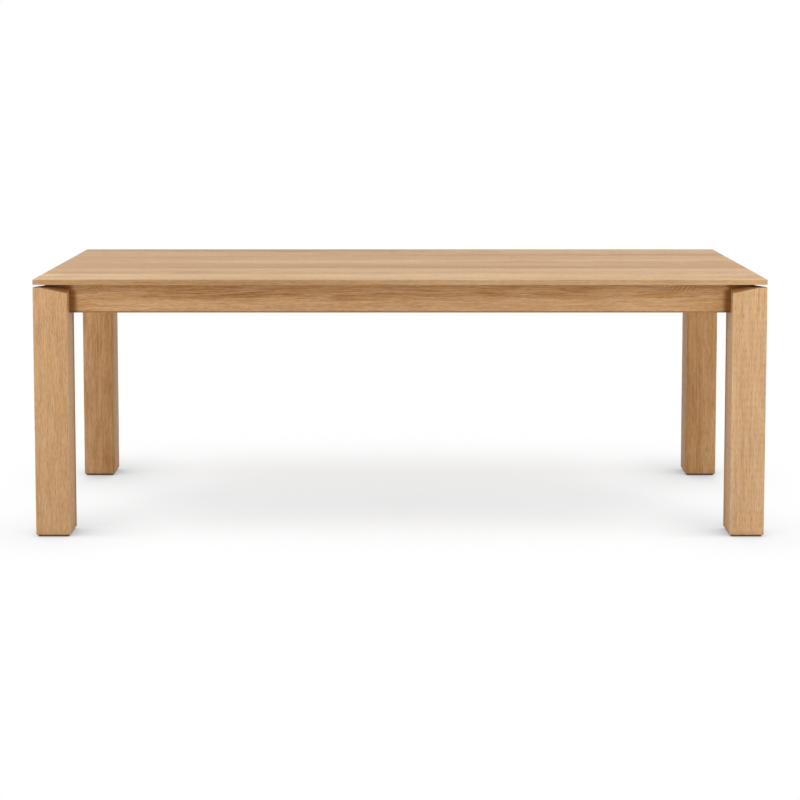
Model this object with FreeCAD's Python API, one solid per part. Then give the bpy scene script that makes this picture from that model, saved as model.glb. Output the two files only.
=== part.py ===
import FreeCAD, Part
import math
import os

# Oak dining table: a thin plank top on a mitred apron frame, with four square legs flush with the
# corners of the top. Each leg's head is notched to an L-shaped horn that stands outside the frame.
# Millimetres. The origin is on the floor under the middle of the table: +X along the table, +Y
# towards the back, +Z up.

# Overall sizes
TABLE_LENGTH = 2150.0
TABLE_WIDTH = 880.0
TABLE_HEIGHT = 765.0

# Top
TOP_THICKNESS = 15.5
TOP_BOARD_COUNT = 6
TOP_ARRIS = 0.8

# Legs
LEG_SIZE = 101.0
LEG_ARRIS = 0.8
FOOT_CHAMFER = 4.0
SHADOW_GAP = 8.3
SLICE_START = 21.5
SLICE_DROP = 17.2
SLICE_INNER_DROP = 6.8

# Apron frame
APRON_SETBACK = 31.0
APRON_THICKNESS = 25.0
APRON_HEIGHT = 86.0
APRON_ARRIS = 1.0
MITRE_TENON_LENGTH = 20.0
MITRE_TENON_THICKNESS = 6.0
MITRE_TENON_HEIGHT = 24.0

# Corner blocks
BLOCK_LEG = 80.0
BLOCK_INSET = 9.0
BLOCK_RELIEF = 6.0
BLOCK_SCREW_REACH = 60.0
BLOCK_SCREW_GRIP = 12.0
BLOCK_SCREW_LENGTH = 32.0
BLOCK_SCREW_EDGE = 15.0

# Hanger bolts, washers and nuts
BOLT_RADIUS = 4.0
BOLT_EDGE = 15.0
BOLT_GRIP = 34.0
BOLT_PROTRUSION = 4.0
BOLT_POINT = 6.0
BOLT_CHAMFER = 1.0
BOLT_CLEARANCE = 0.2
WASHER_RADIUS = 12.0
WASHER_THICKNESS = 2.0
NUT_ACROSS_FLATS = 13.0
NUT_HEIGHT = 6.5

# Cross rails
RAIL_COUNT = 3
RAIL_WIDTH = 60.0
RAIL_HEIGHT = 28.0
RAIL_ARRIS = 1.0
RAIL_TENON_LENGTH = 12.0
RAIL_TENON_SHOULDER = 6.0
RAIL_SLOT_TRAVEL = 8.0
RAIL_SLOT_DEPTH = 8.0

# Buttons that hold the top down
BUTTON_WIDTH = 28.0
BUTTON_LENGTH = 36.0
BUTTON_HEIGHT = 20.0
BUTTON_TONGUE_REACH = 9.0
BUTTON_TONGUE_THICKNESS = 8.0
BUTTON_TONGUE_DROP = 10.0
BUTTON_STANDOFF = 1.5
BUTTON_CHAMFER = 3.0
BUTTON_SCREW_INSET = 20.0
BUTTON_SCREW_SEAT = 8.0
GROOVE_DEPTH = 11.0
GROOVE_MARGIN = 8.0
GROOVE_CLEARANCE = 0.3

# Wood screws
SCREW_RADIUS = 2.25
SCREW_HEAD_RADIUS = 4.5
SCREW_HEAD_HEIGHT = 3.0
SCREW_HEAD_ROUND = 1.0
SCREW_POINT = 5.0
SCREW_BITE = 10.0
SCREW_CLEARANCE = 0.15
SCREW_HEAD_CLEARANCE = 0.6
SCREW_TIP_CLEARANCE = 0.5

# Glides
GLIDE_MARGIN = 1.0
GLIDE_THICKNESS = 4.0
GLIDE_CORNER = 3.0
GLIDE_CHAMFER = 1.0
SPIGOT_RADIUS = 5.0
SPIGOT_LENGTH = 25.0
SPIGOT_CLEARANCE = 0.15

# Joints between wooden pieces that slide together
JOINT_CLEARANCE = 0.2

# Worked out from the sizes above
HALF_LENGTH = TABLE_LENGTH / 2
HALF_WIDTH = TABLE_WIDTH / 2
TOP_UNDERSIDE = TABLE_HEIGHT - TOP_THICKNESS
APRON_BOTTOM = TOP_UNDERSIDE - APRON_HEIGHT
LEG_TOP = TOP_UNDERSIDE - SHADOW_GAP
FRAME_INSIDE = APRON_SETBACK + APRON_THICKNESS
BLOCK_BOTTOM = APRON_BOTTOM + BLOCK_INSET
BLOCK_TOP = TOP_UNDERSIDE - BLOCK_INSET
BOLT_LEVELS = (BLOCK_BOTTOM + BOLT_EDGE, BLOCK_TOP - BOLT_EDGE)
BLOCK_SCREW_LEVELS = (BLOCK_BOTTOM + BLOCK_SCREW_EDGE, BLOCK_TOP - BLOCK_SCREW_EDGE)
BOARD_WIDTH = TABLE_WIDTH / TOP_BOARD_COUNT
RAIL_PITCH = TABLE_LENGTH / (RAIL_COUNT + 1)
RAIL_LENGTH = TABLE_WIDTH - 2 * FRAME_INSIDE
BUTTON_FACE = FRAME_INSIDE + BUTTON_STANDOFF
TONGUE_TOP = TOP_UNDERSIDE - BUTTON_TONGUE_DROP

CORNERS = ("front_left", "front_right", "back_right", "back_left")
CORNER_SIGNS = ((-1, -1), (1, -1), (1, 1), (-1, 1))
SIDES = ("front", "right", "back", "left")
QUARTER_TURN = 90
FULL_TURN = 360
HEXAGON_SIDES = 6
TOLERANCE = 0.01
CENTRE = FreeCAD.Vector(0, 0, 0)
UP = FreeCAD.Vector(0, 0, 1)
DOWN = FreeCAD.Vector(0, 0, -1)
DIAGONAL = FreeCAD.Vector(1, 1, 0)


def box(x0, x1, y0, y1, z0, z1):
    """Block between two corners."""
    return Part.makeBox(x1 - x0, y1 - y0, z1 - z0, FreeCAD.Vector(x0, y0, z0))


def prism(outline, z0, z1):
    """Solid with a plan outline of (x, y) points, between two heights."""
    points = [FreeCAD.Vector(x, y, z0) for x, y in outline]
    face = Part.Face(Part.makePolygon(points + points[:1]))
    return face.extrude(FreeCAD.Vector(0, 0, z1 - z0))


def turned(outline):
    """Solid of revolution about Z, from an outline of (radius, height) points."""
    points = [FreeCAD.Vector(radius, 0, height) for radius, height in outline]
    face = Part.Face(Part.makePolygon(points + points[:1]))
    return face.revolve(CENTRE, UP, FULL_TURN)


def aimed(shape, start, direction):
    """The shape with its +Z turned to a direction and its origin moved to a point."""
    placed = shape.copy()
    placed.Placement = FreeCAD.Placement(start, FreeCAD.Rotation(UP, direction))
    return placed


def chamfered(shape, size, wanted):
    """The shape with a chamfer on each straight edge that the test picks."""
    edges = [edge for edge in shape.Edges if wanted(edge)]
    return shape.makeChamfer(size, edges)


def is_vertical(edge):
    """True for an edge that runs along Z."""
    return abs(edge.tangentAt(edge.FirstParameter).z) > 1 - TOLERANCE


def lies_at(height):
    """A test for level edges at one height."""
    def test(edge):
        extent = edge.BoundBox
        return abs(extent.ZMin - height) < TOLERANCE and abs(extent.ZMax - height) < TOLERANCE
    return test


def at_corner(shape, index):
    """The shape from corner axes, with its origin at the outer corner of the table, put at a corner."""
    x_sign, y_sign = CORNER_SIGNS[index]
    placed = shape.copy()
    placed.rotate(CENTRE, UP, QUARTER_TURN * index)
    placed.translate(FreeCAD.Vector(x_sign * HALF_LENGTH, y_sign * HALF_WIDTH, 0))
    return placed


def at_every_corner(shapes):
    """Every shape from corner axes, put at each corner of the table."""
    return [at_corner(shape, index) for index in range(len(CORNERS)) for shape in shapes]


def wood_screw(length):
    """Pan-head wood screw along +Z, with its head's bearing face at the origin."""
    return turned([
        (0, -SCREW_HEAD_HEIGHT),
        (SCREW_HEAD_RADIUS - SCREW_HEAD_ROUND, -SCREW_HEAD_HEIGHT),
        (SCREW_HEAD_RADIUS, SCREW_HEAD_ROUND - SCREW_HEAD_HEIGHT),
        (SCREW_HEAD_RADIUS, 0),
        (SCREW_RADIUS, 0),
        (SCREW_RADIUS, length - SCREW_POINT),
        (0, length),
    ])


def screw_bore(length, head_room):
    """The hole for a wood screw along +Z, with a counterbore that reaches back by the head room."""
    bore_radius = SCREW_RADIUS + SCREW_CLEARANCE
    bore = Part.makeCylinder(bore_radius, length + SCREW_TIP_CLEARANCE)
    counterbore = Part.makeCylinder(SCREW_HEAD_RADIUS + SCREW_HEAD_CLEARANCE, head_room, CENTRE, DOWN)
    return bore.fuse(counterbore)


def inner_board_middles():
    """Where the middles of the top's inner boards are, across the table."""
    return [(index + 0.5) * BOARD_WIDTH - HALF_WIDTH for index in range(1, TOP_BOARD_COUNT - 1)]


# Corner hardware, in corner axes

def diagonal_point(distance, height):
    """The point this far along the corner's diagonal."""
    across = distance / math.sqrt(2)
    return FreeCAD.Vector(across, across, height)


HORN_CORNER = APRON_SETBACK * math.sqrt(2)
BLOCK_FACE = (FRAME_INSIDE + BLOCK_LEG / 2) * math.sqrt(2)
BOLT_START = HORN_CORNER - BOLT_GRIP
BOLT_LENGTH = BLOCK_FACE + WASHER_THICKNESS + NUT_HEIGHT + BOLT_PROTRUSION - BOLT_START


def hanger_bolt():
    """Bolt along +Z: a screw point for the leg at the origin, and a plain end for the nut."""
    return turned([
        (0, 0),
        (BOLT_RADIUS, BOLT_POINT),
        (BOLT_RADIUS, BOLT_LENGTH - BOLT_CHAMFER),
        (BOLT_RADIUS - BOLT_CHAMFER, BOLT_LENGTH),
        (0, BOLT_LENGTH),
    ])


def bolt_washer():
    """Flat washer, from the origin up."""
    disc = Part.makeCylinder(WASHER_RADIUS, WASHER_THICKNESS)
    return disc.cut(Part.makeCylinder(BOLT_RADIUS + BOLT_CLEARANCE, WASHER_THICKNESS))


def bolt_nut():
    """Hexagon nut, from the origin up, with its corners turned off at both ends."""
    corner_radius = NUT_ACROSS_FLATS / math.sqrt(3)
    angles = [2 * math.pi * step / HEXAGON_SIDES for step in range(HEXAGON_SIDES)]
    outline = [(corner_radius * math.cos(angle), corner_radius * math.sin(angle)) for angle in angles]
    hexagon = prism(outline, 0, NUT_HEIGHT)
    crown = corner_radius - NUT_ACROSS_FLATS / 2
    rounding = turned([
        (0, 0),
        (NUT_ACROSS_FLATS / 2, 0),
        (corner_radius, crown),
        (corner_radius, NUT_HEIGHT - crown),
        (NUT_ACROSS_FLATS / 2, NUT_HEIGHT),
        (0, NUT_HEIGHT),
    ])
    bore = Part.makeCylinder(BOLT_RADIUS + BOLT_CLEARANCE, NUT_HEIGHT)
    return hexagon.common(rounding).cut(bore)


def on_bolts(shape, distance):
    """Copies of a shape on both bolts of a corner, this far along the diagonal."""
    return [aimed(shape, diagonal_point(distance, level), DIAGONAL) for level in BOLT_LEVELS]


def bolt_bores():
    """The holes that both bolts of a corner need."""
    bore = Part.makeCylinder(BOLT_RADIUS + BOLT_CLEARANCE, BOLT_LENGTH)
    return on_bolts(bore, BOLT_START)


def on_block_screws(shape):
    """Copies of a shape on the screws that hold a corner block to its two aprons."""
    along = FRAME_INSIDE + BLOCK_SCREW_REACH
    away = FRAME_INSIDE + BLOCK_SCREW_GRIP
    placed = []
    for level in BLOCK_SCREW_LEVELS:
        to_long_apron = aimed(shape, FreeCAD.Vector(along, away, level), FreeCAD.Vector(0, -1, 0))
        to_end_apron = aimed(shape, FreeCAD.Vector(away, along, level), FreeCAD.Vector(-1, 0, 0))
        placed += [to_long_apron, to_end_apron]
    return placed


def mitre_tenon(clearance):
    """Loose tenon across the mitre, half in each apron, or its pocket when given a clearance."""
    half_length = MITRE_TENON_LENGTH / 2 + clearance
    half_thickness = MITRE_TENON_THICKNESS / 2 + clearance
    half_height = MITRE_TENON_HEIGHT / 2 + clearance
    tenon = box(-half_thickness, half_thickness, -half_length, half_length, -half_height, half_height)
    middle = APRON_SETBACK + APRON_THICKNESS / 2
    tenon.rotate(CENTRE, UP, QUARTER_TURN / 2)
    tenon.translate(FreeCAD.Vector(middle, middle, (APRON_BOTTOM + TOP_UNDERSIDE) / 2))
    return tenon


# Legs and glides, in corner axes

def head_slice(start, fall, rise):
    """Everything above a sloping plane: from the start it falls along one axis and rises on the other."""
    normal = FreeCAD.Vector(fall, -rise, 1)
    half = 2 * LEG_SIZE
    waste = box(-half, half, -half, half, 0, half)
    return aimed(waste, start, normal)


def head_slices():
    """The two slices of the leg's head, mirrored about its diagonal."""
    fall = SLICE_DROP / (LEG_SIZE - SLICE_START)
    rise = (SLICE_DROP - SLICE_INNER_DROP) / APRON_SETBACK
    front = head_slice(FreeCAD.Vector(SLICE_START, 0, LEG_TOP), fall, rise)
    side = front.mirror(CENTRE, FreeCAD.Vector(1, -1, 0))
    return [front, side]


def leg():
    """Square post with a chamfered foot, a notched and sliced head, and its bored holes."""
    post = box(0, LEG_SIZE, 0, LEG_SIZE, GLIDE_THICKNESS, LEG_TOP)
    post = chamfered(post, FOOT_CHAMFER, lies_at(GLIDE_THICKNESS))
    post = chamfered(post, LEG_ARRIS, is_vertical)
    notch = box(APRON_SETBACK, LEG_SIZE, APRON_SETBACK, LEG_SIZE, APRON_BOTTOM, LEG_TOP)
    spigot_bore = Part.makeCylinder(
        SPIGOT_RADIUS + SPIGOT_CLEARANCE,
        SPIGOT_LENGTH + SCREW_TIP_CLEARANCE,
        FreeCAD.Vector(LEG_SIZE / 2, LEG_SIZE / 2, GLIDE_THICKNESS),
    )
    return post.cut([notch, spigot_bore] + head_slices() + bolt_bores())


def glide():
    """Square pad just inside the foot's chamfer, with a spigot that is driven into the leg."""
    near = FOOT_CHAMFER + GLIDE_MARGIN
    far = LEG_SIZE - near
    pad = box(near, far, near, far, 0, GLIDE_THICKNESS)
    pad = chamfered(pad, GLIDE_CORNER, is_vertical)
    pad = chamfered(pad, GLIDE_CHAMFER, lies_at(0))
    spigot = turned([
        (0, 0),
        (SPIGOT_RADIUS, 0),
        (SPIGOT_RADIUS, SPIGOT_LENGTH - GLIDE_CHAMFER),
        (SPIGOT_RADIUS - GLIDE_CHAMFER, SPIGOT_LENGTH),
        (0, SPIGOT_LENGTH),
    ])
    spigot.translate(FreeCAD.Vector(LEG_SIZE / 2, LEG_SIZE / 2, GLIDE_THICKNESS))
    return pad.fuse(spigot)


def corner_block():
    """Triangular block behind the mitre, with its corner taken off to clear the glue line."""
    near = FRAME_INSIDE
    relief = FRAME_INSIDE + BLOCK_RELIEF
    far = FRAME_INSIDE + BLOCK_LEG
    block = prism([(relief, near), (far, near), (near, far), (near, relief)], BLOCK_BOTTOM, BLOCK_TOP)
    screw_holes = on_block_screws(screw_bore(BLOCK_SCREW_LENGTH, BLOCK_LEG))
    return block.cut(bolt_bores() + screw_holes)


# Apron frame

def groove_box(side_length):
    """The groove for the buttons in one apron, in side axes: X along the side, Y in from its edge."""
    reach = side_length / 2 - FRAME_INSIDE - BLOCK_LEG - GROOVE_MARGIN
    depth_start = FRAME_INSIDE - GROOVE_DEPTH
    groove_bottom = TONGUE_TOP - BUTTON_TONGUE_THICKNESS - GROOVE_CLEARANCE
    groove_top = TONGUE_TOP + GROOVE_CLEARANCE
    return box(-reach, reach, depth_start, FRAME_INSIDE, groove_bottom, groove_top)


def apron(side_length):
    """Mitred apron board with a groove for the buttons, in side axes."""
    outer = side_length / 2 - APRON_SETBACK
    inner = side_length / 2 - FRAME_INSIDE
    outline = [
        (-outer, APRON_SETBACK),
        (outer, APRON_SETBACK),
        (inner, FRAME_INSIDE),
        (-inner, FRAME_INSIDE),
    ]
    board = prism(outline, APRON_BOTTOM, TOP_UNDERSIDE)

    def outer_bottom(edge):
        return lies_at(APRON_BOTTOM)(edge) and edge.BoundBox.YMax < APRON_SETBACK + TOLERANCE

    board = chamfered(board, APRON_ARRIS, outer_bottom)
    return board.cut(groove_box(side_length))


def on_side(shape, index):
    """The shape from side axes, put at one side of the table: front, right, back or left."""
    edge_distance = HALF_WIDTH if index % 2 == 0 else HALF_LENGTH
    placed = shape.copy()
    placed.translate(FreeCAD.Vector(0, -edge_distance, 0))
    placed.rotate(CENTRE, UP, QUARTER_TURN * index)
    return placed


def side_length(index):
    """The length of one side of the table."""
    return TABLE_LENGTH if index % 2 == 0 else TABLE_WIDTH


# Cross rails

def rail_positions():
    """Where the middles of the cross rails are, along the table."""
    return [(index - (RAIL_COUNT - 1) / 2) * RAIL_PITCH for index in range(RAIL_COUNT)]


def rail_tenons(clearance):
    """Both stub tenons of a rail, or their mortises when given a clearance."""
    half_width = RAIL_WIDTH / 2 - RAIL_TENON_SHOULDER + clearance
    bottom = TOP_UNDERSIDE - RAIL_HEIGHT + RAIL_TENON_SHOULDER - clearance
    top = TOP_UNDERSIDE - RAIL_TENON_SHOULDER + clearance
    reach = RAIL_LENGTH / 2 + RAIL_TENON_LENGTH + clearance
    return box(-half_width, half_width, -reach, reach, bottom, top)


RAIL_SCREW_START = TOP_UNDERSIDE - RAIL_HEIGHT + RAIL_SLOT_DEPTH
RAIL_SCREW_LENGTH = RAIL_HEIGHT - RAIL_SLOT_DEPTH + SCREW_BITE


def slot(radius, z0, z1):
    """Round-ended slot across the table, long enough for the top to move on its screw."""
    half = RAIL_SLOT_TRAVEL / 2
    height = z1 - z0
    middle = box(-radius, radius, -half, half, z0, z1)
    ends = [Part.makeCylinder(radius, height, FreeCAD.Vector(0, end, z0)) for end in (-half, half)]
    return middle.fuse(ends).removeSplitter()


def cross_rail():
    """Flat rail under the top, with a stub tenon at each end and slotted screw holes."""
    half_width = RAIL_WIDTH / 2
    half_length = RAIL_LENGTH / 2
    bottom = TOP_UNDERSIDE - RAIL_HEIGHT
    body = box(-half_width, half_width, -half_length, half_length, bottom, TOP_UNDERSIDE)

    def long_bottom_edge(edge):
        return lies_at(bottom)(edge) and edge.Length > RAIL_WIDTH

    body = chamfered(body, RAIL_ARRIS, long_bottom_edge)
    rail = body.fuse(rail_tenons(0)).removeSplitter()
    shank_slot = slot(SCREW_RADIUS + SCREW_CLEARANCE, RAIL_SCREW_START, TOP_UNDERSIDE)
    head_slot = slot(SCREW_HEAD_RADIUS + SCREW_HEAD_CLEARANCE, bottom, RAIL_SCREW_START)
    slots = []
    for y in inner_board_middles():
        for opening in (shank_slot, head_slot):
            moved = opening.copy()
            moved.translate(FreeCAD.Vector(0, y, 0))
            slots.append(moved)
    return rail.cut(slots)


def on_rail_screws(shape):
    """Copies of a shape on every cross-rail screw."""
    return [
        aimed(shape, FreeCAD.Vector(x, y, RAIL_SCREW_START), UP)
        for x in rail_positions()
        for y in inner_board_middles()
    ]


# Buttons

def button():
    """Hardwood button in side axes, with its tongue in the apron's groove and its top on the tabletop."""
    body_end = BUTTON_FACE + BUTTON_LENGTH
    half_width = BUTTON_WIDTH / 2
    bottom = TOP_UNDERSIDE - BUTTON_HEIGHT
    tongue_end = BUTTON_FACE - BUTTON_TONGUE_REACH
    profile = [
        (tongue_end, TONGUE_TOP),
        (BUTTON_FACE, TONGUE_TOP),
        (BUTTON_FACE, TOP_UNDERSIDE),
        (body_end, TOP_UNDERSIDE),
        (body_end, bottom + BUTTON_CHAMFER),
        (body_end - BUTTON_CHAMFER, bottom),
        (BUTTON_FACE, bottom),
        (BUTTON_FACE, TONGUE_TOP - BUTTON_TONGUE_THICKNESS),
        (tongue_end, TONGUE_TOP - BUTTON_TONGUE_THICKNESS),
    ]
    points = [FreeCAD.Vector(-half_width, y, z) for y, z in profile]
    face = Part.Face(Part.makePolygon(points + points[:1]))
    body = face.extrude(FreeCAD.Vector(BUTTON_WIDTH, 0, 0))
    return body.cut(button_screw_at(screw_bore(BUTTON_SCREW_LENGTH, BUTTON_HEIGHT)))


BUTTON_SCREW_START = TOP_UNDERSIDE - BUTTON_HEIGHT + BUTTON_SCREW_SEAT
BUTTON_SCREW_LENGTH = BUTTON_HEIGHT - BUTTON_SCREW_SEAT + SCREW_BITE


def button_screw_at(shape):
    """A shape on the button's screw, in side axes."""
    return aimed(shape, FreeCAD.Vector(0, BUTTON_FACE + BUTTON_SCREW_INSET, BUTTON_SCREW_START), UP)


def button_places(index):
    """Where the buttons of one side are, along it."""
    if index % 2 == 1:
        return inner_board_middles()
    return [(step - RAIL_COUNT / 2) * RAIL_PITCH for step in range(RAIL_COUNT + 1)]


def on_buttons(shape):
    """Copies of a shape from side axes, at every button of the table."""
    placed = []
    for index in range(len(SIDES)):
        for along in button_places(index):
            moved = shape.copy()
            moved.translate(FreeCAD.Vector(along, 0, 0))
            placed.append(on_side(moved, index))
    return placed


# Top

def top_boards(holes):
    """Edge-glued boards of the top, front to back, with pilot holes in their undersides."""
    panel = box(-HALF_LENGTH, HALF_LENGTH, -HALF_WIDTH, HALF_WIDTH, TOP_UNDERSIDE, TABLE_HEIGHT)
    panel = panel.makeChamfer(TOP_ARRIS, panel.Edges)
    panel = panel.cut(holes)
    boards = []
    for index in range(TOP_BOARD_COUNT):
        front = index * BOARD_WIDTH - HALF_WIDTH
        strip = box(-HALF_LENGTH, HALF_LENGTH, front, front + BOARD_WIDTH, TOP_UNDERSIDE, TABLE_HEIGHT)
        boards.append(panel.common(strip))
    return boards


def build():
    """Every piece of the table, by name."""
    pieces = {}
    block_screw_bores = at_every_corner(on_block_screws(screw_bore(BLOCK_SCREW_LENGTH, BLOCK_LEG)))
    corner_bores = at_every_corner(bolt_bores() + [mitre_tenon(JOINT_CLEARANCE)])
    rail_screw = wood_screw(RAIL_SCREW_LENGTH)
    button_screw = wood_screw(BUTTON_SCREW_LENGTH)
    top_holes = on_rail_screws(screw_bore(RAIL_SCREW_LENGTH, SCREW_HEAD_HEIGHT))
    top_holes += on_buttons(button_screw_at(screw_bore(BUTTON_SCREW_LENGTH, SCREW_HEAD_HEIGHT)))

    for index, board in enumerate(top_boards(top_holes)):
        pieces[f"top_board_{index + 1}"] = board

    mortises = []
    for index, x in enumerate(rail_positions()):
        rail = cross_rail()
        rail.translate(FreeCAD.Vector(x, 0, 0))
        pieces[f"cross_rail_{index + 1}"] = rail
        mortise = rail_tenons(JOINT_CLEARANCE)
        mortise.translate(FreeCAD.Vector(x, 0, 0))
        mortises.append(mortise)

    for index, side in enumerate(SIDES):
        board = on_side(apron(side_length(index)), index)
        pieces[f"apron_{side}"] = board.cut(corner_bores + block_screw_bores + mortises)

    for index, corner in enumerate(CORNERS):
        pieces[f"leg_{corner}"] = at_corner(leg(), index)
        pieces[f"glide_{corner}"] = at_corner(glide(), index)
        pieces[f"corner_block_{corner}"] = at_corner(corner_block(), index)

    nut_face = BLOCK_FACE + WASHER_THICKNESS
    groups = {
        "mitre_tenons": at_every_corner([mitre_tenon(0)]),
        "hanger_bolts": at_every_corner(on_bolts(hanger_bolt(), BOLT_START)),
        "bolt_washers": at_every_corner(on_bolts(bolt_washer(), BLOCK_FACE)),
        "bolt_nuts": at_every_corner(on_bolts(bolt_nut(), nut_face)),
        "corner_block_screws": at_every_corner(on_block_screws(wood_screw(BLOCK_SCREW_LENGTH))),
        "cross_rail_screws": on_rail_screws(rail_screw),
        "tabletop_buttons": on_buttons(button()),
        "button_screws": on_buttons(button_screw_at(button_screw)),
    }
    for name, solids in groups.items():
        pieces[name] = Part.makeCompound(solids)
    return pieces


os.makedirs("parts", exist_ok=True)
for name, shape in build().items():
    shape.exportStep(f"parts/{name}.step")
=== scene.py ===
import math

import bpy
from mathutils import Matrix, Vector


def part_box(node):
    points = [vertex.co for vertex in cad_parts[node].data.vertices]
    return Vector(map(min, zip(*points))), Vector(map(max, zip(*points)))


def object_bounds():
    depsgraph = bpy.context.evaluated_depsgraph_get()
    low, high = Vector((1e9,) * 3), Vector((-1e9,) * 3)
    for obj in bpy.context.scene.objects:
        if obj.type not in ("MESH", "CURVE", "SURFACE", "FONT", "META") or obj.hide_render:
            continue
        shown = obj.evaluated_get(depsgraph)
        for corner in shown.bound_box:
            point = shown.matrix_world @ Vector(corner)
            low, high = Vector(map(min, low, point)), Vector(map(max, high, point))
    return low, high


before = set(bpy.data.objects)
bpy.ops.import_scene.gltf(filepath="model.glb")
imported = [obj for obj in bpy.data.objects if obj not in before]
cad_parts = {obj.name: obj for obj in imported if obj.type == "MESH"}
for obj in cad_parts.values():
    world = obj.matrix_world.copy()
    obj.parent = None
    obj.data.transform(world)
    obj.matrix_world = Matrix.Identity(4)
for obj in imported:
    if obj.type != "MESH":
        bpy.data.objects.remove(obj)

CAD_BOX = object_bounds()
WHITE = (1, 1, 1, 1)

# Camera, in metres and degrees, in front of the middle of the top's front arris and above it
CAMERA_AWAY = 4.952
CAMERA_ABOVE = 0.592
CAMERA_PITCH = 4.141
CAMERA_SHIFT = -0.25
CAMERA_SENSOR = 36.0
CAMERA_LENS = 76.69
CAMERA_REACH = 100.0

# Light, in metres and degrees: an even surround, a wide soft light overhead, soft suns at both
# sides and behind them, and a softbox in front of each end of the table
SURROUND_STRENGTH = 0.2
OVERHEAD_STRENGTH = 0.81
OVERHEAD_ELEVATION = 85.0
OVERHEAD_SOFTNESS = 70.0
SIDE_STRENGTH = 0.54
SIDE_AZIMUTH = 75.0
REAR_STRENGTH = 0.31
REAR_AZIMUTH = 140.0
SUN_ELEVATION = 45.0
SUN_SOFTNESS = 30.0
SOFTBOX_POWER = 16.4
SOFTBOX_SIZE = 0.8
SOFTBOX_SIDE = 2.0
SOFTBOX_FRONT = -1.7
SOFTBOX_HEIGHT = 1.6
SOFTBOX_AIM = (1.0, -0.4, 0.7)

# Floor. The camera sees plain white far from the table, and partly the lit floor under it, where
# FLOOR_GLOW is the share of plain white that is left. A pair gives the distances outside the table
# between which something fades, negative inside the table's edge.
FLOOR_SIZE = 60.0
FLOOR_COLOUR = (0.9, 0.9, 0.9, 1)
FLOOR_GLOW = 0.69
FLOOR_OPEN_FRONT = (-0.28, 0.19)
FLOOR_OPEN_BACK = (-0.12, 0.65)
FLOOR_OPEN_SIDE = (-0.58, 0.33)

# The light that the wood throws down on the floor is cooled by a tint
FLOOR_BOUNCE_REACH = (-0.50, 0.05)
FLOOR_BOUNCE_TINT = (0.80, 0.93, 1.0, 1)

# Painted contact shade: close to the legs the plain white darkens, and more so under the table
CONTACT_REACH = 0.30
CONTACT_SAMPLES = 8
CONTACT_EDGE = (-0.03, 0.03)
CONTACT_INSIDE = 0.85
CONTACT_OUTSIDE = 0.30


# ---------------------------------------------------------------- node helpers

class Tree:
    """A node tree, with short calls that add a node and give back what comes out of it."""

    def __init__(self, tree):
        self.tree = tree

    def add(self, kind, sockets=None, **settings):
        """A new node, with its own settings, and values or links for its sockets."""
        node = self.tree.nodes.new(kind)
        for name, value in settings.items():
            setattr(node, name, value)
        for key, value in (sockets or {}).items():
            self.feed(node.inputs[key], value)
        return node

    def feed(self, socket, value):
        if isinstance(value, bpy.types.NodeSocket):
            self.tree.links.new(value, socket)
        else:
            socket.default_value = value

    def math(self, operation, *values, clamp=False):
        sockets = dict(enumerate(values))
        return self.add("ShaderNodeMath", sockets, operation=operation, use_clamp=clamp).outputs[0]

    def vector(self, operation, first, second):
        sockets = {0: first, ("Scale" if operation == "SCALE" else 1): second}
        return self.add("ShaderNodeVectorMath", sockets, operation=operation).outputs["Vector"]

    def mix(self, factor, first, second, blend="MIX"):
        node = self.add("ShaderNodeMix", data_type="RGBA", blend_type=blend)
        for name, value in (("Factor", factor), ("A", first), ("B", second)):
            self.feed(node.inputs[name], value)
        return next(socket for socket in node.outputs if socket.type == "RGBA" and socket.enabled)

    def tinted(self, colour, tint):
        """A colour times a tint."""
        return self.mix(1.0, colour, tint, "MULTIPLY")

    def product(self, first, *others):
        """Numbers times each other."""
        for other in others:
            first = self.math("MULTIPLY", first, other)
        return first

    def squared(self, value):
        return self.math("MULTIPLY", value, value)

    def rest(self, share):
        """What a share leaves of 1."""
        return self.math("SUBTRACT", 1.0, share)

    def ramp(self, value, low, high):
        """The value's place between two levels, from 0 to 1."""
        sockets = {"Value": value, "From Min": low, "From Max": high}
        return self.add("ShaderNodeMapRange", sockets, interpolation_type="SMOOTHSTEP").outputs[0]

    def between(self, factor, first, second):
        """A number that goes from the first to the second as the factor goes from 0 to 1."""
        return self.math("MULTIPLY_ADD", factor, second - first, first)

    def noise(self, point, detail=2.0, roughness=0.5):
        sockets = {"Vector": point, "Scale": 1.0, "Detail": detail, "Roughness": roughness}
        return self.add("ShaderNodeTexNoise", sockets).outputs[0]

    def point(self):
        """The place on the surface, in metres."""
        return self.add("ShaderNodeTexCoord").outputs["Object"]

    def normal(self):
        """The direction that the face looks in."""
        return self.add("ShaderNodeNewGeometry").outputs["True Normal"]

    def parts(self, vector):
        return self.add("ShaderNodeSeparateXYZ", {0: vector}).outputs

    def joined(self, *parts):
        return self.add("ShaderNodeCombineXYZ", dict(enumerate(parts))).outputs[0]

    def bump(self, height, distance, strength):
        sockets = {"Height": height, "Distance": distance, "Strength": strength}
        return self.add("ShaderNodeBump", sockets).outputs[0]

    def surface(self, shader):
        self.add("ShaderNodeOutputMaterial", {"Surface": shader.outputs[0]})


def emptied(owner):
    """The node tree of a material or world, with nothing in it."""
    owner.use_nodes = True
    owner.node_tree.nodes.clear()
    return Tree(owner.node_tree)


# ---------------------------------------------------------------- wood

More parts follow.
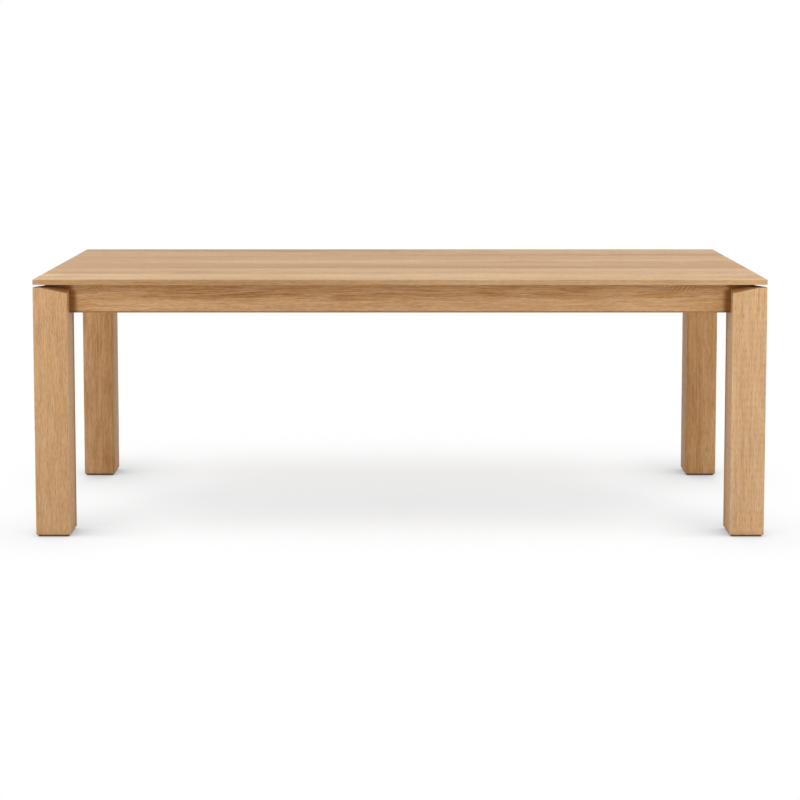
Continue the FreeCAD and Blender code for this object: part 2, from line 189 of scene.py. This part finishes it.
# A grain says how fine a feature is, per metre, and a pair says so along the wood and across it.
# EARLY_WOOD and LATE_WOOD are places in a ring.
RING_WIDTH = 0.0034
EARLY_WOOD = (0.0, 0.45)
LATE_WOOD = (0.55, 1.0)
SLOW_WAVE_GRAIN = (2.4, 6.0)
QUICK_WAVE_GRAIN = (9.0, 45.0)
QUICK_WAVE_SHARE = 0.10
BANDS_PER_RING = 0.24
BOARD_BAND_GRAIN = (0.55, 8.0)
CLOUD_GRAIN = (6.0, 24.0)
STREAK_GRAIN = (7.5, 190.0)
FIBRE_GRAIN = (15.0, 640.0)
SHORT_FIBRE_GRAIN = (60.0, 850.0)
FINE_FIBRE_GRAIN = (60.0, 2600.0)
PORE_GRAIN = (48.0, 3600.0)
PORE_EARLY_SHARE = 0.12
PORE_RANGE = (0.64, 0.74)
WARMTH_GRAIN = (9.0, 60.0)
WARMTH_RANGE = (0.3, 0.7)

# Rays, by how fine they are along the wood, round the pith in radians and out from it
RAY_GRAIN = (35.0, 170.0, 14.0)
RAY_RANGE = (0.62, 0.72)

# How much each feature darkens the wood, or lightens it where the share is negative
PLAIN_SHARE = 0.32
YEAR_SHARE = 0.80
EARLY_SHARE = 0.14
LATE_SHARE = 0.06
RING_SHARE = 0.16
FIBRE_SHARE = 1.20
SHORT_FIBRE_SHARE = 0.70
FINE_FIBRE_SHARE = 0.50
RAY_SHARE = -0.10

# Tones and tints are factors of the wood's own colour
TONE_POWERS = (0.67, 0.94, 1.40)
COOL_TINT = (0.985, 1.005, 1.055, 1)
WARM_TINT = (1.015, 0.995, 0.945, 1)
PORE_TONE = 0.47
END_GRAIN_TONE = 0.48
WORN_TONE = 1.12
WEAR_SHARE = 0.22
WEAR_REACH = 0.0025
WEAR_GRAIN = 60.0
WEAR_ROUGHNESS = -0.05
PORE_ROUGHNESS = 0.2
PORE_DEPTH = 0.00010
FIBRE_HEIGHT = 0.35

GRAIN_ORDER = {"X": (0, 1, 2), "Y": (1, 0, 2), "Z": (2, 0, 1)}
GRAIN_DIRECTION = {"X": (1, 0, 0), "Y": (0, 1, 0), "Z": (0, 0, 1)}


def toned(colour, tone):
    """A colour of the wood at another tone."""
    return tuple(channel * tone ** power for channel, power in zip(colour, TONE_POWERS))


def tone_tint(t, tone):
    """The tint that a tone of the wood gives: a darker one is also warmer."""
    channels = {place: t.math("POWER", tone, power) for place, power in enumerate(TONE_POWERS)}
    return t.add("ShaderNodeCombineColor", channels).outputs[0]


def add_sockets(group, side, kind, names):
    for name in names:
        group.interface.new_socket(name, in_out=side, socket_type=kind)


def make_wood_group():
    """A solid block of ring-porous wood. The point's X runs along the grain, in metres."""
    group = bpy.data.node_groups.new("ring_porous_wood", "ShaderNodeTree")
    add_sockets(group, "INPUT", "NodeSocketVector", ("Point", "Pith"))
    add_sockets(group, "INPUT", "NodeSocketFloat", (
        "Lean", "Wave", "Seed", "Contrast", "Pores", "Figure", "Bands", "Clouds", "Fibres", "Streaks",
    ))
    add_sockets(group, "OUTPUT", "NodeSocketFloat", ("Tone", "Pores", "Height", "Streak", "Warmth"))
    t = Tree(group)
    given = t.add("NodeGroupInput").outputs
    point = given["Point"]
    offset = t.joined(given["Seed"], given["Seed"], given["Seed"])

    def seeded(grain):
        along, across = grain
        return t.vector("ADD", t.vector("MULTIPLY", point, (along, across, across)), offset)

    def centred(value):
        return t.math("SUBTRACT", value, 0.5)

    def total(*features):
        """The sum of features, each times its share."""
        amount = 0.0
        for feature, share in features:
            amount = t.math("MULTIPLY_ADD", feature, share, amount)
        return amount

    # Growth rings round a pith that leans along the board and wanders
    slow = t.product(centred(t.noise(seeded(SLOW_WAVE_GRAIN))), given["Wave"])
    quick = t.product(centred(t.noise(seeded(QUICK_WAVE_GRAIN))), given["Wave"], QUICK_WAVE_SHARE)
    along, across, depth = t.parts(t.vector("SUBTRACT", point, given["Pith"]))
    radius = t.math("SQRT", t.math("ADD", t.squared(across), t.squared(depth)))
    leaned = t.math("MULTIPLY_ADD", along, given["Lean"], radius)
    grown = t.math("ADD", t.math("ADD", leaned, slow), quick)
    rings = t.math("DIVIDE", grown, RING_WIDTH)
    within = t.math("FRACT", rings)
    early = t.rest(t.ramp(within, *EARLY_WOOD))
    late = t.ramp(within, *LATE_WOOD)
    ring_number = t.math("ADD", t.math("FLOOR", rings), given["Seed"])
    ring_tone = t.add("ShaderNodeTexWhiteNoise", {"W": ring_number}, noise_dimensions="1D").outputs[0]

    # Broad bands of good and lean years
    years = t.math("MULTIPLY_ADD", rings, BANDS_PER_RING, given["Seed"])
    year_sockets = {"W": years, "Scale": 1.0, "Detail": 2.0}
    year_band = t.add("ShaderNodeTexNoise", year_sockets, noise_dimensions="1D").outputs[0]

    # Bands, clouds, streaks, fibres and the open pores of the early wood, from broad to fine
    board_band = t.noise(seeded(BOARD_BAND_GRAIN), roughness=0.6)
    cloud = t.noise(seeded(CLOUD_GRAIN))
    streak_along, streak_across = STREAK_GRAIN
    streak_point = t.joined(t.product(along, streak_along), t.product(grown, streak_across), given["Seed"])
    streak = t.noise(streak_point, detail=3.0, roughness=0.6)
    fibre = t.noise(seeded(FIBRE_GRAIN), roughness=0.6)
    short_fibre = t.noise(seeded(SHORT_FIBRE_GRAIN), detail=1.0)
    fine_fibre = t.noise(seeded(FINE_FIBRE_GRAIN), detail=1.0)
    pore_noise = t.noise(seeded(PORE_GRAIN), detail=0.0)
    pore_level = t.math("MULTIPLY_ADD", early, PORE_EARLY_SHARE, pore_noise)
    pores = t.product(t.ramp(pore_level, *PORE_RANGE), given["Pores"])

    # Rays that run out from the pith
    angle = t.math("ARCTAN2", depth, across)
    ray_places = zip((along, angle, radius), RAY_GRAIN)
    ray_point = t.joined(*(t.product(place, fineness) for place, fineness in ray_places))
    rays = t.ramp(t.noise(ray_point, detail=1.0), *RAY_RANGE)

    figure = total(
        (centred(year_band), YEAR_SHARE), (early, EARLY_SHARE), (late, LATE_SHARE),
        (centred(ring_tone), RING_SHARE),
    )
    fibres = total(
        (centred(fibre), FIBRE_SHARE), (centred(short_fibre), SHORT_FIBRE_SHARE),
        (centred(fine_fibre), FINE_FIBRE_SHARE),
    )
    dark = total(
        (rays, RAY_SHARE), (figure, given["Figure"]), (centred(board_band), given["Bands"]),
        (centred(cloud), given["Clouds"]), (fibres, given["Fibres"]), (centred(streak), given["Streaks"]),
    )
    amount = t.math("ADD", dark, PLAIN_SHARE, clamp=True)
    tone = t.math("MULTIPLY_ADD", amount, t.math("SUBTRACT", given["Contrast"], 1.0), 1.0)
    t.add("NodeGroupOutput", {
        "Tone": t.product(tone, t.between(pores, 1.0, PORE_TONE)),
        "Pores": pores,
        "Height": t.math("SUBTRACT", t.product(fine_fibre, FIBRE_HEIGHT), pores),
        "Streak": streak,
        "Warmth": t.ramp(t.noise(seeded(WARMTH_GRAIN)), *WARMTH_RANGE),
    })
    return group


def edge_wear(t, point, box):
    """How near a point of a box's surface is to one of the box's edges, from 0 to 1."""
    low, high = box
    parts = t.parts(point)
    gaps = []
    for axis in range(3):
        from_low = t.math("SUBTRACT", parts[axis], low[axis])
        from_high = t.math("SUBTRACT", high[axis], parts[axis])
        gaps.append(t.math("MINIMUM", from_low, from_high))
    smaller = t.math("MINIMUM", gaps[0], gaps[1])
    larger = t.math("MAXIMUM", gaps[0], gaps[1])
    second = t.math("MAXIMUM", smaller, t.math("MINIMUM", larger, gaps[2]))
    wander = t.product(t.noise(t.vector("SCALE", point, WEAR_GRAIN)), WEAR_REACH)
    return t.rest(t.ramp(t.math("SUBTRACT", second, wander), -WEAR_REACH, WEAR_REACH))


def end_grain(t, grain):
    """How squarely a surface cuts the grain, from 0 to 1."""
    sockets = {0: t.normal(), 1: GRAIN_DIRECTION[grain]}
    along = t.add("ShaderNodeVectorMath", sockets, operation="DOT_PRODUCT").outputs["Value"]
    return t.squared(along)


class Board:
    """What one wooden piece is cut from, and how it is finished.

    Its shade and tone give a tone with painted shade in it, its tinge a tint of that painted shade and its
    dullness more roughness, each at every point.
    """

    def __init__(self, grain, box, pith, lean, seed, light, contrast=0.50, wave=0.016, pores=1.0,
                 figure=0.7, bands=0.3, clouds=0.3, fibres=1.0, streaks=0.5, roughness=0.5,
                 gloss=0.35, shade_and_tone=None, tinge=None, dullness=None):
        self.grain = grain
        self.box = box
        self.light = light
        self.roughness = roughness
        self.gloss = gloss
        self.shade_and_tone = shade_and_tone
        self.tinge = tinge
        self.dullness = dullness
        self.cut = {
            "Pith": (0.0, *pith), "Lean": lean, "Wave": wave, "Seed": seed, "Contrast": contrast,
            "Pores": pores, "Figure": figure, "Bands": bands, "Clouds": clouds, "Fibres": fibres,
            "Streaks": streaks,
        }


def middle_of(box):
    low, high = box
    return tuple((low[axis] + high[axis]) / 2 for axis in range(3))


def figure_of(t, point, board):
    """What the wood group gives at the board's own place in a log."""
    parts = t.parts(t.vector("SUBTRACT", point, middle_of(board.box)))
    turned = t.joined(*(parts[axis] for axis in GRAIN_ORDER[board.grain]))
    return t.add("ShaderNodeGroup", {"Point": turned, **board.cut}, node_tree=WOOD_GROUP).outputs


def wood(name, board, wear_box=None):
    """A wooden material cut from its own place in a log, and worn along a box's edges."""
    material = bpy.data.materials.new(name)
    t = emptied(material)
    point = t.point()
    figure = figure_of(t, point, board)
    tone = t.product(figure["Tone"], t.between(end_grain(t, board.grain), 1.0, END_GRAIN_TONE))
    # Painted shade, and on the aprons partly figure, multiplies the tone here
    if board.shade_and_tone:
        tone = t.product(tone, board.shade_and_tone(t, point, figure["Streak"]))
    wear = edge_wear(t, point, wear_box or board.box)
    to_worn = t.product(t.math("SUBTRACT", WORN_TONE, tone), t.product(wear, WEAR_SHARE))
    light = t.tinted((*board.light, 1), t.mix(figure["Warmth"], COOL_TINT, WARM_TINT))
    if board.tinge:
        light = t.tinted(light, board.tinge(t))
    colour = t.tinted(light, tone_tint(t, t.math("ADD", tone, to_worn)))
    rough = t.math("MULTIPLY_ADD", figure["Pores"], PORE_ROUGHNESS, board.roughness)
    rough = t.math("MULTIPLY_ADD", wear, WEAR_ROUGHNESS, rough)
    if board.dullness:
        rough = t.math("ADD", rough, board.dullness(t, point))
    bump = t.bump(figure["Height"], PORE_DEPTH, 1.0)
    shader = t.add("ShaderNodeBsdfPrincipled", {"Base Color": colour, "Roughness": rough, "Normal": bump})
    shader.inputs["Specular IOR Level"].default_value = board.gloss
    t.surface(shader)
    return material


def dress(node, material):
    """Gives a CAD node one material."""
    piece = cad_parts[node]
    piece.data.materials.clear()
    piece.data.materials.append(material)


# ---------------------------------------------------------------- top

TOP_OAK = (0.655, 0.421, 0.224)
TOP_LOOK = {"wave": 0.012, "figure": 0.5, "bands": 2.4, "clouds": 0.3, "fibres": 0.8, "streaks": 0.9}
TOP_LEAN = 0.014
TOP_SEED = 11.3
# Painted shade: the top's long edge faces are darker by this tone
TOP_EDGE_TONE = 0.91

# Each board of the top, from front to back: its tone, and where its pith lies from its middle
TOP_BOARDS = (
    (1.075, (0.03, -0.11)),
    (0.91, (-0.05, -0.09)),
    (0.77, (0.10, -0.05)),
    (0.90, (-0.02, -0.14)),
    (0.92, (0.06, -0.08)),
    (0.84, (0.0, -0.12)),
)


def joined_box(names):
    """The box round several nodes."""
    boxes = [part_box(name) for name in names]
    low = [min(box[0][axis] for box in boxes) for axis in range(3)]
    high = [max(box[1][axis] for box in boxes) for axis in range(3)]
    return low, high


def top_edge_shade(t, _point, _streak):
    """The tone of the top, with painted shade that darkens its long edge faces."""
    sideways = t.parts(t.normal())[1]
    return t.between(t.squared(sideways), 1.0, TOP_EDGE_TONE)


def dress_top():
    names = sorted(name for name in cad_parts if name.startswith("top_board_"))
    whole = joined_box(names)
    for index, name in enumerate(names):
        tone, pith = TOP_BOARDS[index % len(TOP_BOARDS)]
        lean = TOP_LEAN * (-1) ** index
        seed = TOP_SEED * (index + 1)
        board = Board("X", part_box(name), pith, lean, seed, toned(TOP_OAK, tone),
                      shade_and_tone=top_edge_shade, **TOP_LOOK)
        dress(name, wood(name + "_oak", board, whole))


# ---------------------------------------------------------------- aprons

APRONS = (("front", "X"), ("back", "X"), ("left", "Y"), ("right", "Y"))
APRON_OAK = (0.735, 0.465, 0.254)
APRON_LOOK = {
    "wave": 0.05, "figure": 0.40, "bands": 0.3, "clouds": 0.4, "fibres": 1.3, "streaks": 0.6,
    "roughness": 0.55, "gloss": 0.15,
}
APRON_PITH = (-0.03, 0.09)
APRON_LEAN = 0.010
APRON_SEED = 71.7
APRON_SEED_STEP = 5.9

# An apron has painted shade, darkest where it runs behind a leg, over a shorter stretch at its top,
# and its lower part darkens towards there with painted shade. Pairs are distances between which
# the painted shade fades, in metres.
CORNER_TONE = 0.37
CORNER_REACH = (0.011, 0.029)
CORNER_EASE = 0.010
CORNER_EASE_REACH = (0.014, 0.024)
NEAR_TONE = 0.82
NEAR_REACH = (0.010, 0.200)

# The upper part is darker, partly painted shade under the top's overhang and partly figure, with
# streaks, a wandering lower edge and stronger and weaker places. It is weaker at the very top and
# near the legs.
UPPER_TONE = 0.42
UPPER_EDGE = 0.25
UPPER_CORE = 0.028
UPPER_REACH = (0.034, 0.054)
UPPER_WANDER = 0.040
UPPER_WANDER_GRAIN = (4.0, 4.0, 30.0)
UPPER_NEAR = 0.70
UPPER_NEAR_REACH = (0.03, 0.20)
UPPER_PLAIN = 0.35
UPPER_STROKES = 0.58
STROKE_RANGE = (0.42, 0.64)
STRENGTH_GRAIN = 3.4
STRENGTH_RANGE = (0.35, 0.65)
STRENGTHS = (0.65, 1.08)

# Patches of curly figure: how far along, how far below the apron's top, the strokes' slant, and how
# far the patch reaches along the apron
RIPPLES = ((0.835, 0.014, -0.8, 0.050), (-0.893, 0.012, 1.0, 0.024))
RIPPLE_LENGTH = 0.014
RIPPLE_RISE = 0.011
RIPPLE_BOW = 14.0
RIPPLE_STRENGTH = 0.60
RIPPLE_RANGE = (-0.2, 0.9)

# Painted shade along the lower arris
ARRIS_TONE = 0.50
ARRIS_REACH = (0.003, 0.0065)


def ripples(t, along, up, place, height, slant, reach):
    """Short curved strokes across the grain, as a cut through curly wood shows them, from 0 to 1."""
    sideways = t.math("SUBTRACT", along, place)
    upwards = t.math("SUBTRACT", up, height)
    bow = t.product(t.squared(upwards), RIPPLE_BOW)
    phase = t.math("ADD", t.math("MULTIPLY_ADD", upwards, slant, sideways), bow)
    stroke = t.math("SINE", t.product(phase, 2 * math.pi / RIPPLE_LENGTH))
    far_along = t.math("POWER", t.math("DIVIDE", sideways, reach), 2.0)
    far_up = t.math("POWER", t.math("DIVIDE", upwards, RIPPLE_RISE), 2.0)
    nearby = t.math("EXPONENT", t.product(t.math("ADD", far_along, far_up), -1.0))
    return t.product(t.ramp(stroke, *RIPPLE_RANGE), nearby)


def apron_shade_and_figure(grain, box):
    """The tone of an apron: painted shade behind the legs, towards them and on its lower arris, and a
    darker upper part that is partly painted shade under the top and partly figure.
    """
    axis = "XYZ".index(grain)
    leg_low, leg_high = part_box("leg_front_left")
    clear = CAD_BOX[1][axis] - (leg_high[axis] - leg_low[axis])
    bottom = box[0][2]
    top = box[1][2]

    def shade_and_tone(t, point, streak):
        parts = t.parts(point)
        along, up = parts[axis], parts[2]
        from_leg = t.math("SUBTRACT", clear, t.math("ABSOLUTE", along))
        from_top = t.math("SUBTRACT", top, up)
        from_bottom = t.math("SUBTRACT", up, bottom)

        # The darker upper part: partly painted shade under the top's overhang, partly figure
        wander = t.noise(t.vector("MULTIPLY", point, UPPER_WANDER_GRAIN), detail=3.0)
        wander = t.math("MULTIPLY_ADD", wander, UPPER_WANDER, -UPPER_WANDER / 2)
        risen = t.between(t.ramp(from_top, 0.0, UPPER_CORE), UPPER_EDGE, 1.0)
        ended = t.ramp(t.math("ADD", from_top, wander), *UPPER_REACH)
        places = t.noise(t.vector("SCALE", point, STRENGTH_GRAIN), detail=1.0)
        strength = t.between(t.ramp(places, *STRENGTH_RANGE), *STRENGTHS)
        strokes = t.product(t.ramp(streak, *STROKE_RANGE), strength)
        upper = t.math("MULTIPLY_ADD", strokes, UPPER_STROKES, t.product(strength, UPPER_PLAIN))
        upper = t.product(upper, t.product(risen, t.rest(ended)))
        for place, drop, slant, reach in RIPPLES:
            more = ripples(t, along, up, place, top - drop, slant, reach)
            upper = t.math("MULTIPLY_ADD", more, RIPPLE_STRENGTH, upper)
        upper = t.product(upper, t.between(t.ramp(from_leg, *UPPER_NEAR_REACH), UPPER_NEAR, 1.0))

        # Painted shade behind the legs and towards them
        ease = t.between(t.ramp(from_top, *CORNER_EASE_REACH), CORNER_EASE, 0.0)
        corner = t.ramp(t.math("ADD", from_leg, ease), *CORNER_REACH)
        near = t.product(t.rest(t.ramp(from_leg, *NEAR_REACH)), ended)

        return t.product(
            t.between(corner, CORNER_TONE, 1.0),
            t.between(near, 1.0, NEAR_TONE),
            t.between(upper, 1.0, UPPER_TONE),
            t.between(t.ramp(from_bottom, *ARRIS_REACH), ARRIS_TONE, 1.0),
        )

    return shade_and_tone


def dress_aprons():
    for index, (side, grain) in enumerate(APRONS):
        name = "apron_" + side
        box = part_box(name)
        seed = APRON_SEED + APRON_SEED_STEP * index
        shade_and_tone = apron_shade_and_figure(grain, box)
        board = Board(grain, box, APRON_PITH, APRON_LEAN, seed, APRON_OAK, shade_and_tone=shade_and_tone, **APRON_LOOK)
        dress(name, wood(name + "_oak", board))


# ---------------------------------------------------------------- legs

LEG_OAK = (0.716, 0.453, 0.243)
LEG_LOOK = {"wave": 0.02, "figure": 0.45, "bands": 0.4, "roughness": 0.52}
LEG_ROW_LOOKS = {
    "front": {"gloss": 0.38, "clouds": 0.3, "fibres": 1.3, "streaks": 0.8},
    "back": {"gloss": 0.28, "clouds": 0.9, "fibres": 1.5, "streaks": 1.6},
}
LEG_LEAN = 0.002
LEG_SEED = 131.1
LEG_SEED_STEP = 7.7

# Each leg: its row and side, its tone, the painted shade tone of its inner faces, and its pith
LEGS = (
    ("front", "left", 0.955, 0.85, (0.26, 0.20)),
    ("front", "right", 1.075, 0.77, (-0.24, 0.22)),
    ("back", "right", 0.97, 0.856, (-0.21, -0.25)),
    ("back", "left", 1.03, 0.87, (0.22, -0.21)),
)

# A leg has painted shade at its foot and on its two inner faces, which also take a tint, and those
# have a painted dark line, also dull, along the arris between them. Pairs of reaches are distances
# from that arris, in metres.
FOOT_TONE = 0.86
FOOT_HEIGHT = 0.022
INNER_TINT = (1.0, 0.975, 0.92, 1)
INNER_GRADE = (0.95, 1.15)
INNER_GRADE_REACH = (0.02, 0.11)
INNER_LINE_TONE = 0.80
INNER_LINE_DULLING = 0.40
INNER_LINE_REACHES = {"front": (0.004, 0.034), "back": (0.004, 0.008)}
FACING_RANGE = (0.5, 1.0)


def inner_faces(t, inwards):
    """Which faces look along one of two inward directions, as 1, and which don't, as 0."""
    faced = t.parts(t.normal())
    along = t.math("MAXIMUM", *(t.product(faced[axis], inwards[axis]) for axis in range(2)))
    return t.ramp(along, *FACING_RANGE)


def leg_shade_and_dullness(box, inner_tone, line_reach):
    """The painted shade, its tinge and the dullness of a leg."""
    inwards = tuple(-math.copysign(1.0, middle) for middle in middle_of(box)[:2])
    arris = tuple(box[1 if inwards[axis] > 0 else 0][axis] for axis in range(2))

    def from_arris(t, point):
        parts = t.parts(point)
        gaps = [t.math("ABSOLUTE", t.math("SUBTRACT", parts[axis], arris[axis])) for axis in range(2)]
        return t.math("MAXIMUM", *gaps)

    # Painted shade: the inner faces darken towards their arris, and the foot towards the floor
    def shade_and_tone(t, point, _streak):
        gap = from_arris(t, point)
        face = t.product(
            t.between(t.ramp(gap, *INNER_GRADE_REACH), *INNER_GRADE),
            t.between(t.ramp(gap, *line_reach), INNER_LINE_TONE, 1.0),
            inner_tone,
        )
        face = t.math("MULTIPLY_ADD", inner_faces(t, inwards), t.math("SUBTRACT", face, 1.0), 1.0)
        height = t.parts(point)[2]
        return t.product(face, t.between(t.ramp(height, 0.0, FOOT_HEIGHT), FOOT_TONE, 1.0))

    # The tint that goes with the inner faces' painted shade
    def tinge(t):
        return t.mix(inner_faces(t, inwards), WHITE, INNER_TINT)

    def dullness(t, point):
        line = t.between(t.ramp(from_arris(t, point), *line_reach), INNER_LINE_DULLING, 0.0)
        return t.product(inner_faces(t, inwards), line)

    return {"shade_and_tone": shade_and_tone, "tinge": tinge, "dullness": dullness}


def dress_legs():
    for index, (row, side, tone, inner_tone, pith) in enumerate(LEGS):
        name = f"leg_{row}_{side}"
        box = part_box(name)
        seed = LEG_SEED + LEG_SEED_STEP * index
        shade_and_dullness = leg_shade_and_dullness(box, inner_tone, INNER_LINE_REACHES[row])
        board = Board("Z", box, pith, LEG_LEAN, seed, toned(LEG_OAK, tone),
                      **LEG_LOOK, **LEG_ROW_LOOKS[row], **shade_and_dullness)
        dress(name, wood(name + "_oak", board))


# ---------------------------------------------------------------- hidden wood and hardware

BEECH = (0.68, 0.48, 0.30)
BEECH_LOOK = {"contrast": 0.7, "pores": 0.4, "roughness": 0.7, "gloss": 0.2}
BEECH_PITH = (0.05, 0.12)
BEECH_LEAN = 0.003
BEECH_SEED = 211.9
BEECH_SEED_STEP = 3.1

STEEL_NODES = (
    "hanger_bolts", "bolt_washers", "bolt_nuts", "corner_block_screws", "cross_rail_screws",
    "button_screws",
)
STEEL_GRAIN = 900.0
STEEL_DARK = (0.50, 0.50, 0.47, 1)
STEEL_LIGHT = (0.72, 0.72, 0.70, 1)
STEEL_ROUGHNESS = (0.25, 0.45)

NYLON_GRAIN = 1400.0
NYLON_DARK = (0.050, 0.043, 0.036, 1)
NYLON_LIGHT = (0.090, 0.078, 0.066, 1)
NYLON_DEPTH = 0.0001
NYLON_BUMP = 0.6
NYLON_ROUGHNESS = 0.7
NYLON_GLOSS = 0.15


def hidden_grain(name):
    """The direction of the grain in a hidden wooden node, or nothing for another node."""
    if name in STEEL_NODES:
        return None
    if name.startswith("cross_rail_"):
        return "Y"
    if name.startswith("corner_block_"):
        return "Z"
    return "X" if name in ("tabletop_buttons", "mitre_tenons") else None


def dress_hidden_wood():
    for index, name in enumerate(sorted(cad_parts)):
        grain = hidden_grain(name)
        if grain:
            seed = BEECH_SEED + BEECH_SEED_STEP * index
            board = Board(grain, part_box(name), BEECH_PITH, BEECH_LEAN, seed, BEECH, **BEECH_LOOK)
            dress(name, wood(name + "_beech", board))


def steel():
    """Zinc-plated steel with a fine spangle."""
    material = bpy.data.materials.new("zinc_steel")
    t = emptied(material)
    spangle = t.noise(t.vector("SCALE", t.point(), STEEL_GRAIN), detail=3.0)
    colour = t.mix(spangle, STEEL_DARK, STEEL_LIGHT)
    rough = t.between(spangle, *STEEL_ROUGHNESS)
    shader = t.add("ShaderNodeBsdfPrincipled", {"Base Color": colour, "Roughness": rough})
    shader.inputs["Metallic"].default_value = 1.0
    t.surface(shader)
    return material


def nylon():
    """Dark moulded plastic with a fine texture."""
    material = bpy.data.materials.new("dark_nylon")
    t = emptied(material)
    grain = t.noise(t.vector("SCALE", t.point(), NYLON_GRAIN))
    colour = t.mix(grain, NYLON_DARK, NYLON_LIGHT)
    bump = t.bump(grain, NYLON_DEPTH, NYLON_BUMP)
    shader = t.add("ShaderNodeBsdfPrincipled", {"Base Color": colour, "Normal": bump})
    shader.inputs["Roughness"].default_value = NYLON_ROUGHNESS
    shader.inputs["Specular IOR Level"].default_value = NYLON_GLOSS
    t.surface(shader)
    return material


def dress_hardware():
    metal = steel()
    for name in STEEL_NODES:
        dress(name, metal)
    plastic = nylon()
    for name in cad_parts:
        if name.startswith("glide_"):
            dress(name, plastic)


# ---------------------------------------------------------------- stage

def placed(name, data):
    """A new object in the scene."""
    piece = bpy.data.objects.new(name, data)
    bpy.context.scene.collection.objects.link(piece)
    return piece


def aim(lamp, direction):
    """Turns a lamp to shine in a direction."""
    lamp.rotation_mode = "QUATERNION"
    lamp.rotation_quaternion = direction.to_track_quat("-Z", "Y")


def sun(name, strength, elevation, azimuth, softness):
    """A far soft light. Azimuth 0 shines from the front towards the back, and 90 from the right."""
    data = bpy.data.lights.new(name, "SUN")
    data.energy = strength
    data.angle = math.radians(softness)
    level = math.radians(elevation)
    turn = math.radians(azimuth)
    source = Vector((math.sin(turn) * math.cos(level), -math.cos(turn) * math.cos(level), math.sin(level)))
    aim(placed(name, data), -source)


def softbox(side):
    """A square soft light in front of one end of the table."""
    data = bpy.data.lights.new("softbox", "AREA")
    data.energy = SOFTBOX_POWER
    data.size = SOFTBOX_SIZE
    lamp = placed("softbox", data)
    lamp.location = Vector((side * SOFTBOX_SIDE, SOFTBOX_FRONT, SOFTBOX_HEIGHT))
    target = Vector((side * SOFTBOX_AIM[0], SOFTBOX_AIM[1], SOFTBOX_AIM[2]))
    aim(lamp, target - lamp.location)
    lamp.visible_camera = False
    lamp.visible_glossy = False


def lights():
    sun("overhead", OVERHEAD_STRENGTH, OVERHEAD_ELEVATION, 0, OVERHEAD_SOFTNESS)
    for side in (-1, 1):
        sun("side", SIDE_STRENGTH, SUN_ELEVATION, side * SIDE_AZIMUTH, SUN_SOFTNESS)
        sun("rear", REAR_STRENGTH, SUN_ELEVATION, side * REAR_AZIMUTH, SUN_SOFTNESS)
        softbox(side)


def surround():
    """White where the camera or a reflection sees it, and plain soft light everywhere else."""
    world = bpy.data.worlds.new("studio")
    bpy.context.scene.world = world
    t = emptied(world)
    path = t.add("ShaderNodeLightPath").outputs
    seen = t.math("MAXIMUM", path["Is Camera Ray"], path["Is Transmission Ray"])
    seen = t.math("MAXIMUM", seen, path["Is Glossy Ray"])
    sockets = {"Color": WHITE, "Strength": t.between(seen, SURROUND_STRENGTH, 1.0)}
    background = t.add("ShaderNodeBackground", sockets)
    t.add("ShaderNodeOutputWorld", {"Surface": background.outputs[0]})


def from_table(t, point):
    """How far a point of the floor lies outside the table: to the side, in front and behind."""
    low, high = CAD_BOX
    across, along, _ = t.parts(point)
    side = t.math("SUBTRACT", t.math("ABSOLUTE", across), high[0])
    return side, t.math("SUBTRACT", low[1], along), t.math("SUBTRACT", along, high[1])


def floor_material():
    """White where the camera sees it, with the table's shade under it and painted contact shade at its
    feet.
    """
    material = bpy.data.materials.new("studio_floor")
    t = emptied(material)
    path = t.add("ShaderNodeLightPath").outputs
    seen = t.math("MAXIMUM", path["Is Camera Ray"], path["Is Glossy Ray"])
    side, front, back = from_table(t, t.point())
    painted_contact_tint, openness = t.add(
        "ShaderNodeAmbientOcclusion", {"Distance": CONTACT_REACH}, samples=CONTACT_SAMPLES,
    ).outputs

    # The floor as the lamps light it, its colour tinted under the table and darkened near the legs by
    # painted contact shade
    outermost = t.math("MAXIMUM", side, t.math("MAXIMUM", front, back))
    under = t.rest(t.ramp(outermost, *FLOOR_BOUNCE_REACH))
    tint = t.tinted(t.mix(under, WHITE, FLOOR_BOUNCE_TINT), painted_contact_tint)
    colour = t.mix(seen, FLOOR_COLOUR, t.tinted(FLOOR_COLOUR, tint))
    lit = t.add("ShaderNodeBsdfDiffuse", {"Color": colour})

    # Plain white, darkened close to the legs by painted contact shade
    outside = t.ramp(t.math("MAXIMUM", side, front), *CONTACT_EDGE)
    painted_contact_shade = t.product(t.between(outside, CONTACT_INSIDE, CONTACT_OUTSIDE), t.rest(openness))
    plain = t.add("ShaderNodeEmission", {"Color": WHITE, "Strength": t.rest(painted_contact_shade)})

    fades = ((side, FLOOR_OPEN_SIDE), (front, FLOOR_OPEN_FRONT), (back, FLOOR_OPEN_BACK))
    shade = t.product(*(t.rest(t.ramp(gap, *reach)) for gap, reach in fades))
    glow = t.product(seen, t.between(shade, 1.0, FLOOR_GLOW))
    t.surface(t.add("ShaderNodeMixShader", {0: glow, 1: lit.outputs[0], 2: plain.outputs[0]}))
    return material


def floor():
    mesh = bpy.data.meshes.new("floor")
    half = FLOOR_SIZE / 2
    corners = [(-half, -half, 0), (half, -half, 0), (half, half, 0), (-half, half, 0)]
    mesh.from_pydata(corners, [], [(0, 1, 2, 3)])
    mesh.materials.append(floor_material())
    piece = placed("floor", mesh)


def camera():
    low, high = CAD_BOX
    data = bpy.data.cameras.new("camera")
    data.sensor_width = CAMERA_SENSOR
    data.lens = CAMERA_LENS
    data.shift_y = CAMERA_SHIFT
    data.clip_end = CAMERA_REACH
    piece = placed("camera", data)
    piece.location = ((low[0] + high[0]) / 2, low[1] - CAMERA_AWAY, high[2] + CAMERA_ABOVE)
    piece.rotation_euler = (math.radians(90 - CAMERA_PITCH), 0, 0)
    bpy.context.scene.camera = piece


camera()
floor()
surround()
lights()
bpy.context.scene.view_settings.view_transform = "Standard"

WOOD_GROUP = make_wood_group()
dress_top()
dress_aprons()
dress_legs()
dress_hidden_wood()
dress_hardware()
